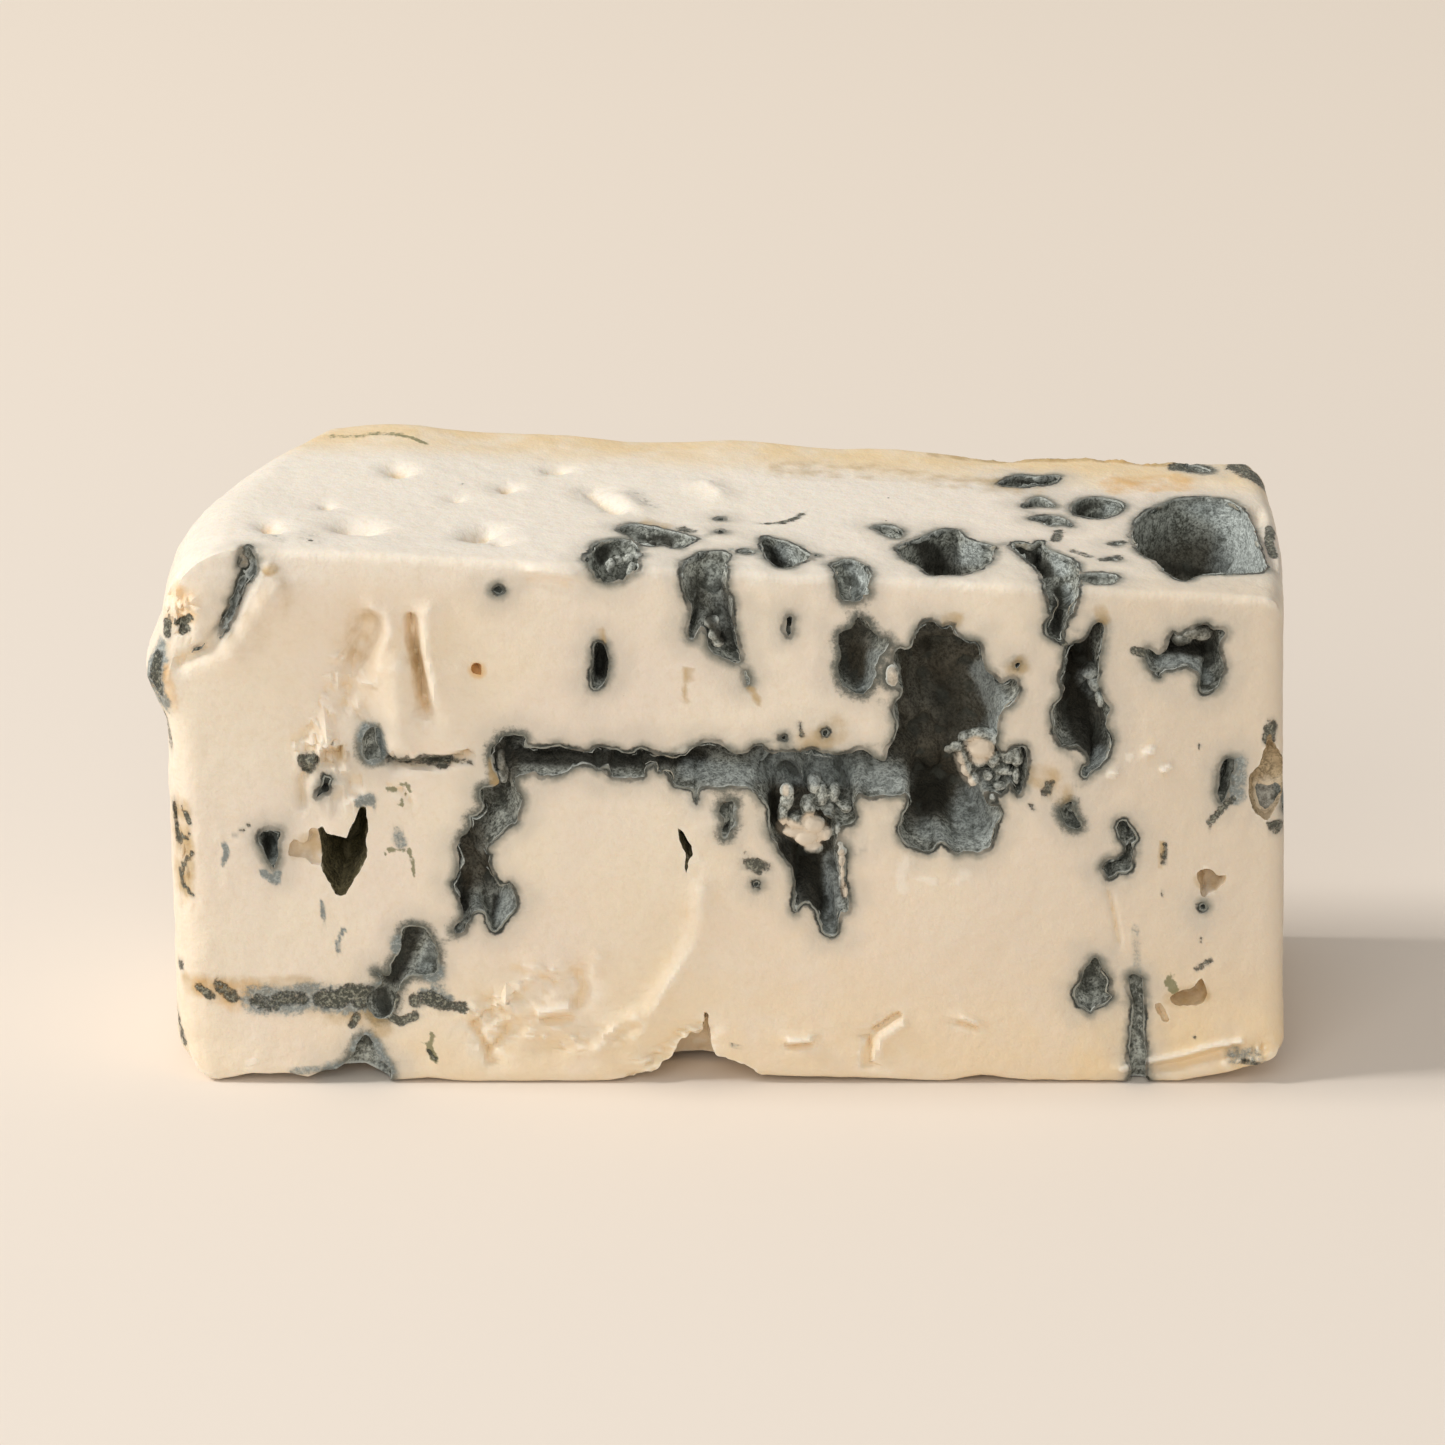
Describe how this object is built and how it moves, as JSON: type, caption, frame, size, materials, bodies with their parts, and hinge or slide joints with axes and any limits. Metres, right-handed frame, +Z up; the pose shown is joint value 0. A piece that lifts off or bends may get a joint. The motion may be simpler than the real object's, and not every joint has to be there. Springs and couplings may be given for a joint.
{
  "type": "blue cheese",
  "caption": "Cut block of cream-coloured blue cheese with a rounded rind end, a flat skin on top and deep, branching hollows lined with grey-blue mould.",
  "frame": {"origin": "centre of the underside, on the plane that the block rests on", "axes": "+X along the length, from the rind end to the cut right end; +Y from the shown cut face to the back; +Z up"},
  "size_m": [0.1227, 0.044, 0.0607],
  "materials": {
    "paste": "satin, slightly waxy"
  },
  "bodies": {
    "root": {"blue_cheese": "paste"}
  },
  "joints": []
}
